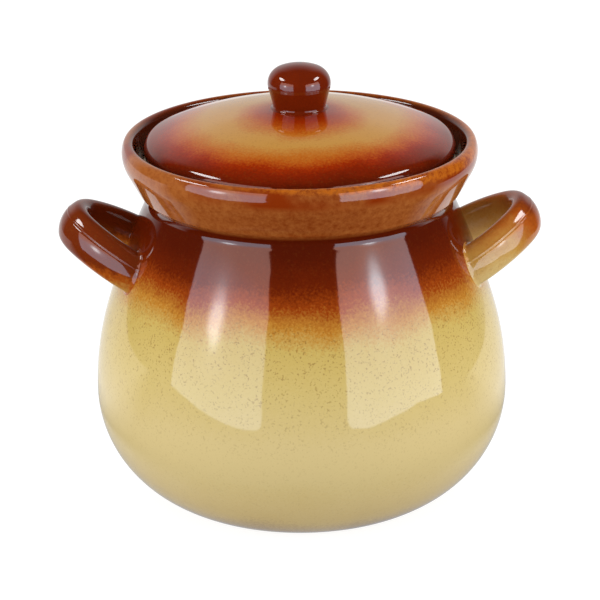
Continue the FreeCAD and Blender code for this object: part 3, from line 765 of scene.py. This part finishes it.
knob_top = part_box("lid_knob")[1].z
knob_head_radius = 0.0157
knob_head_round = 0.0085
knob_head_height = 0.2112
waist_round = 0.0014
waist_centre_radius = 0.0145
knob_turns = 128
knob_sunk = 0.0005
knob_seam_rise = 0.00005
knob_seam_width = 0.0005

# The waist's round touches the dome, and a straight flank touches both that round and the head's. Past
# the seam, the head's round runs into a flat crown, whose radius makes the two touch.
waist_height = dome_centre[1] + math.sqrt((dome_radius + waist_round) ** 2 - waist_centre_radius ** 2)
waist_centre = np.array([waist_centre_radius, waist_height])
head_centre = np.array([knob_head_radius - knob_head_round, knob_head_height])
seat = waist_centre + waist_round * direction(dome_centre - waist_centre)
waist_heading = np.array([seat[1] - waist_centre[1], waist_centre[0] - seat[0]]) / waist_round
between = head_centre - waist_centre
rounds = waist_round + knob_head_round
flank_lean = math.atan2(between[1], between[0]) - math.acos(-rounds / np.hypot(*between))
facing = np.array([math.cos(flank_lean), math.sin(flank_lean)])
rising = np.array([-facing[1], facing[0]])
waist_end = waist_centre - waist_round * facing
head_start = head_centre + knob_head_round * facing
top_rise = knob_top - head_centre[1]
top_squares = head_centre[0] ** 2 + top_rise ** 2 - knob_head_round ** 2
top_radius = top_squares / (2 * (top_rise - knob_head_round))
head_end = head_centre + knob_head_round * direction(head_centre - [0, knob_top - top_radius])
top_heading = heading_after(head_start, rising, head_end)
seam_foot = head_start - knob_seam_width * rising
seam_ridge = head_start + knob_seam_rise * facing
knob_outline = rounded_outline(
    [(0, seat[1] - knob_sunk, 0), (seat[0] - knob_sunk, seat[1] - knob_sunk, 0)]
    + plain(arc(seat, waist_heading, waist_end, steps=14))
    + [(*seam_foot, 0), (*seam_ridge, knob_seam_width / 2)]
    + plain(arc(head_start, rising, head_end, steps=24)[1:])
    + plain(arc(head_end, top_heading, (0, knob_top), steps=16)[1:])
)
knob_object = turned("knob", knob_outline, knob_turns, {})

knob_brown = srgb(96, 26, 5)
knob_red = srgb(120, 36, 6)
knob_patches_per_metre = 90


def knob_glaze():
    """Red brown all over, a little redder where the glaze is thin."""
    material = new_material("knob_glaze")
    tree = material.node_tree
    place = object_place(tree)
    colour = blend(tree, noise(tree, place, knob_patches_per_metre, detail=3.0), knob_brown, knob_red)
    fired_gloss(tree, colour, place)
    return material


knob_object.data.materials.append(knob_glaze())
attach(knob_object, "lid")
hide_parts("lid_knob")

# The table. A sheet of white paper that runs far back behind the pot. It lies a hair below the foot, so
# that the two don't cut into each other.

white = (1.0, 1.0, 1.0, 1.0)
paper_grey = (0.72, 0.72, 0.72, 1.0)
paper_west, paper_east = -1.1, 0.56
paper_south, paper_north = -0.35, 2.4
paper_height = -0.0002
shadow_share = 0.3
seen_strength = 1.3
# The paper's glow in the glaze's reflections holds a painted shade of the pot: grey round the foot and
# dark in front.
foot_shade_centre = (0.0, 0.035, 0.0)
foot_shade_radius, foot_shade_edge = 0.135, 0.160
foot_shade_grey = 0.58
back_from, back_full = 0.10, 0.22
front_edge, back_edge = -0.02, 0.08
back_strength = 0.96
# Round the foot the paper glows for the pot's matt light: painted bounce light on the lower body.
bounce_glow_radius, bounce_glow_edge = 0.11, 0.16
bounce_glow_strength = 0.66


def paper_in_glaze(tree, place, away):
    """How bright the paper glows where the glaze mirrors it: white behind, with painted shade of the pot,
    grey round the foot and dark in front.
    """
    around = distance_from(tree, place, foot_shade_centre)
    near = level(tree, around, foot_shade_edge, foot_shade_radius)
    near = math_node(tree, "MULTIPLY", near, foot_shade_grey)
    behind = level(tree, parts_of(tree, place)["Y"], front_edge, back_edge)
    far = math_node(tree, "MULTIPLY", level(tree, away, back_from, back_full), behind)
    return math_node(tree, "MAXIMUM", math_node(tree, "MULTIPLY", far, back_strength), near)


def seen_rays(tree, rays):
    """1 for what the camera sees straight or through something clear."""
    return math_node(tree, "ADD", rays["Is Camera Ray"], rays["Is Transmission Ray"], clamp=True)


def white_paper():
    """White paper, clear from below. The camera sees it white, less the shadow that the pot leaves on it.
    The glaze sees only its glow, with the painted shade that paper_in_glaze gives, and round the foot it
    glows for the pot's matt light, which is painted bounce light on the lower body."""
    material = new_material("white_paper")
    tree = material.node_tree
    rays = add_node(tree, "LightPath").outputs
    place = object_place(tree)
    away = distance_from(tree, place, (0.0, 0.0, 0.0))
    seen = seen_rays(tree, rays)
    near_foot = level(tree, away, bounce_glow_edge, bounce_glow_radius)
    painted_bounce_glow = math_node(tree, "MULTIPLY", near_foot, rays["Is Diffuse Ray"])
    share = math_node(tree, "MULTIPLY_ADD", seen, 1 - shadow_share, rays["Is Glossy Ray"])
    share = math_node(tree, "ADD", share, painted_bounce_glow)
    strength = math_node(tree, "MULTIPLY", rays["Is Glossy Ray"], paper_in_glaze(tree, place, away))
    strength = math_node(tree, "MULTIPLY_ADD", seen, seen_strength, strength)
    strength = math_node(tree, "MULTIPLY_ADD", painted_bounce_glow, bounce_glow_strength, strength)
    matt = add_node(tree, "BsdfDiffuse", {"Color": paper_grey}).outputs[0]
    glowing = add_node(tree, "Emission", {"Color": white, "Strength": strength}).outputs[0]
    top = add_node(tree, "MixShader", {0: share, 1: matt, 2: glowing}).outputs[0]
    clear = add_node(tree, "BsdfTransparent").outputs[0]
    below = add_node(tree, "NewGeometry").outputs["Backfacing"]
    sheet = add_node(tree, "MixShader", {0: below, 1: top, 2: clear})
    add_node(tree, "OutputMaterial", {"Surface": sheet.outputs[0]})
    return material


paper_corners = np.array([
    [paper_west, paper_south, paper_height], [paper_east, paper_south, paper_height],
    [paper_east, paper_north, paper_height], [paper_west, paper_north, paper_height],
])
paper = put_mesh("paper", paper_corners, [[0, 1, 2, 3]], {})
paper.data.materials.append(white_paper())

# The room. Dark in front, with a lit wall behind, and white everywhere for the camera. A soft fill comes
# from all sides, most of it from above.

wall_from, wall_full = 0.50, 0.75
wall_top, wall_foot = 0.78, 0.34
wall_strength = 0.68
room_dark = 0.02
fill_below = 0.42
fill_above = 0.68


def studio_room():
    """The room's light by the way that a ray leaves: the wall for the glaze, white for the camera, and a
    fill for everything matt that grows with the way's height."""
    world = bpy.data.worlds.new("studio")
    world.use_nodes = True
    tree = world.node_tree
    tree.nodes.clear()
    rays = add_node(tree, "LightPath").outputs
    way = parts_of(tree, add_node(tree, "TexCoord").outputs["Generated"])
    behind = level(tree, way["Y"], wall_from, wall_full)
    wall = math_node(tree, "MULTIPLY", behind, level(tree, way["Z"], wall_top, wall_foot))
    wall = math_node(tree, "MULTIPLY_ADD", wall, wall_strength, room_dark)
    glossy = math_node(tree, "MULTIPLY", rays["Is Glossy Ray"], wall)
    strength = math_node(tree, "ADD", glossy, seen_rays(tree, rays), clamp=True)
    fill = math_node(tree, "MULTIPLY_ADD", level(tree, way["Z"], 0.0, 1.0), fill_above, fill_below)
    fill = math_node(tree, "MULTIPLY", rays["Is Diffuse Ray"], fill)
    strength = math_node(tree, "ADD", strength, fill)
    shade = add_node(tree, "Background", {"Color": white, "Strength": strength})
    add_node(tree, "OutputWorld", {"Surface": shade.outputs[0]})
    return world


bpy.context.scene.world = studio_room()

# The softboxes. One tall panel of lit cloth on each side of the camera, with its bulb behind the cloth.
# The glaze mirrors the panel, and a lamp of the same size beside it gives its light.

softbox_distance = 1.1
softbox_bottom = -0.17
softbox_round = 0.08
softbox_aim = 0.1
bulb_halo_reach = 0.30
bulb_halo_strength = 1.6
bulb_radius, bulb_reach = 0.03, 0.14
bulb_strength = 8.0
warm_above, cool_below = 0.62, 0.40
warm_cloth = (1.06, 0.64, 0.54, 1.0)
cool_cloth = (0.70, 0.82, 0.98, 1.0)
bulb_tint = (0.86, 0.94, 1.0, 1.0)
tint_reach, tint_full = 0.17, 0.06
lamp_turn = math.radians(65)
lamp_strength = 2.1


def only_in_glaze(panel, material):
    """Puts the material on the panel, and hides the panel from all but the glaze's reflections."""
    panel.data.materials.append(material)
    panel.visible_camera = False
    panel.visible_diffuse = False
    panel.visible_shadow = False
    panel.visible_transmission = False


def glow(material, colour, strength):
    """Makes the material glow in that colour and strength, and do nothing else."""
    tree = material.node_tree
    shade = add_node(tree, "Emission", {"Color": colour, "Strength": strength})
    add_node(tree, "OutputMaterial", {"Surface": shade.outputs[0]})
    return material


def falling(tree, value, start, end, most):
    """most where value is at start or less, falling softly to 0 where it is at end or more."""
    inputs = {"Value": value, "From Min": start, "From Max": end, "To Min": most, "To Max": 0.0}
    return add_node(tree, "MapRange", inputs, interpolation_type="SMOOTHSTEP").outputs["Result"]


def lit_cloth(name, strength, bulb_place):
    """The softbox's cloth: an even glow of that strength, warm above and cool below, with the bulb's halo
    and its bright spot round bulb_place."""
    material = new_material(name)
    tree = material.node_tree
    place = object_place(tree)
    away = distance_from(tree, place, bulb_place)
    halo = falling(tree, away, 0.0, bulb_halo_reach, bulb_halo_strength)
    bulb = falling(tree, away, bulb_radius, bulb_reach, bulb_strength)
    low = level(tree, parts_of(tree, place)["Z"], warm_above, cool_below)
    tint = blend(tree, low, warm_cloth, cool_cloth)
    tint = blend(tree, level(tree, away, tint_reach, tint_full), tint, bulb_tint)
    return glow(material, tint, math_node(tree, "ADD", math_node(tree, "ADD", halo, bulb), strength))


def softbox_lamp(name, turn, middle, half_width, half_height):
    """The lamp that gives the softbox's light, a panel of its size at its height, turned further to its
    side. Its power is its brightness times its area times pi."""
    lamp_data = bpy.data.lights.new(name, "AREA")
    lamp_data.shape = "RECTANGLE"
    lamp_data.size = 2 * half_width
    lamp_data.size_y = 2 * half_height
    lamp_data.energy = 4 * half_width * half_height * math.pi * lamp_strength
    lamp = bpy.data.objects.new(name, lamp_data)
    bpy.context.scene.collection.objects.link(lamp)
    upright = Matrix.Rotation(math.radians(90), 4, "X")
    round_the_pot = Matrix.Rotation(math.copysign(lamp_turn, turn), 4, "Z")
    lamp.matrix_world = round_the_pot @ Matrix.Translation((0, -softbox_distance, middle)) @ upright
    lamp.visible_glossy = False
    lamp.visible_camera = False


def softbox(name, sides, top, strength, bulb_turn, bulb_rise):
    """A panel whose two sides stand at those turns from the front, in degrees. It is a rectangle with
    round corners, whose half width is its distance times tan(half the turn between its sides). The bulb
    is seen from the middle of the pot at its own turn and rise."""
    turn = math.radians(sum(sides) / 2)
    a = softbox_distance * math.tan(math.radians(sides[1] - sides[0]) / 2)
    b = (top - softbox_bottom) / 2
    r = softbox_round
    cloth = rounded_outline([(a, 0, 0), (a, b, r), (-a, b, r), (-a, -b, r), (a, -b, r), (a, 0, 0)])[:-1]
    middle = (top + softbox_bottom) / 2
    facing = np.array([math.sin(turn), -math.cos(turn), 0.0])
    across = np.array([math.cos(turn), math.sin(turn), 0.0])
    centre = softbox_distance * facing + [0, 0, middle]
    points = centre + cloth[:, :1] * across + cloth[:, 1:] * np.array([0, 0, 1])
    panel = put_mesh(name, points, [list(range(len(points)))], {})
    aside = softbox_distance * math.tan(math.radians(bulb_turn) - turn)
    bulb_height = softbox_aim + softbox_distance * math.tan(math.radians(bulb_rise))
    bulb_place = softbox_distance * facing + aside * across + [0, 0, bulb_height]
    only_in_glaze(panel, lit_cloth(name, strength, tuple(bulb_place)))
    softbox_lamp(name + "_lamp", turn, middle, a, b)


softbox("left_softbox", sides=(-75, -22.5), top=0.80, strength=3.4, bulb_turn=-53.5, bulb_rise=14.5)
softbox("right_softbox", sides=(21.5, 77.5), top=0.78, strength=4.0, bulb_turn=47.5, bulb_rise=19)

# The small lamps. A lit oval high at each side, which only the glaze sees. It puts a short bright streak
# on each curve that faces halfway between it and the eye.

small_lamp_distance = 1.5
small_lamp_aim = 0.18
small_lamp_half_width = 0.34
small_lamp_half_height = 0.15
small_lamp_points = 32
small_lamp_strength = 15.0


def small_lamp(name, turn, rise):
    """An oval of (a cos t, b sin t) that stands at that distance, turned round the pot and tipped up."""
    way = Matrix.Rotation(math.radians(turn), 3, "Z") @ Matrix.Rotation(math.radians(-rise), 3, "X")
    spoke = np.linspace(0, 2 * np.pi, small_lamp_points, endpoint=False)
    oval = np.stack([
        small_lamp_half_width * np.cos(spoke),
        np.full(small_lamp_points, -small_lamp_distance),
        small_lamp_half_height * np.sin(spoke),
    ], -1)
    points = oval @ np.array(way).T + [0, 0, small_lamp_aim]
    panel = put_mesh(name, points, [list(range(small_lamp_points))], {})
    only_in_glaze(panel, glow(new_material(name), white, small_lamp_strength))


small_lamp("left_small_lamp", turn=-88, rise=41)
small_lamp("right_small_lamp", turn=85, rise=42)

# The camera. A long lens, a little to the left of the pot and above it, looking down at its middle.

camera_lens = 150.6
camera_place = (-0.0440, -1.1992, 0.5459)
camera_turn = math.radians(-2.077)
camera_tilt = math.radians(69.47)
camera_roll = math.radians(-0.5)

camera_data = bpy.data.cameras.new("camera")
camera_data.lens = camera_lens
camera = bpy.data.objects.new("camera", camera_data)
bpy.context.scene.collection.objects.link(camera)
camera.matrix_world = (
    Matrix.Translation(camera_place)
    @ Matrix.Rotation(camera_turn, 4, "Z")
    @ Matrix.Rotation(camera_tilt, 4, "X")
    @ Matrix.Rotation(camera_roll, 4, "Z")
)
bpy.context.scene.camera = camera
bpy.context.scene.view_settings.view_transform = "Standard"
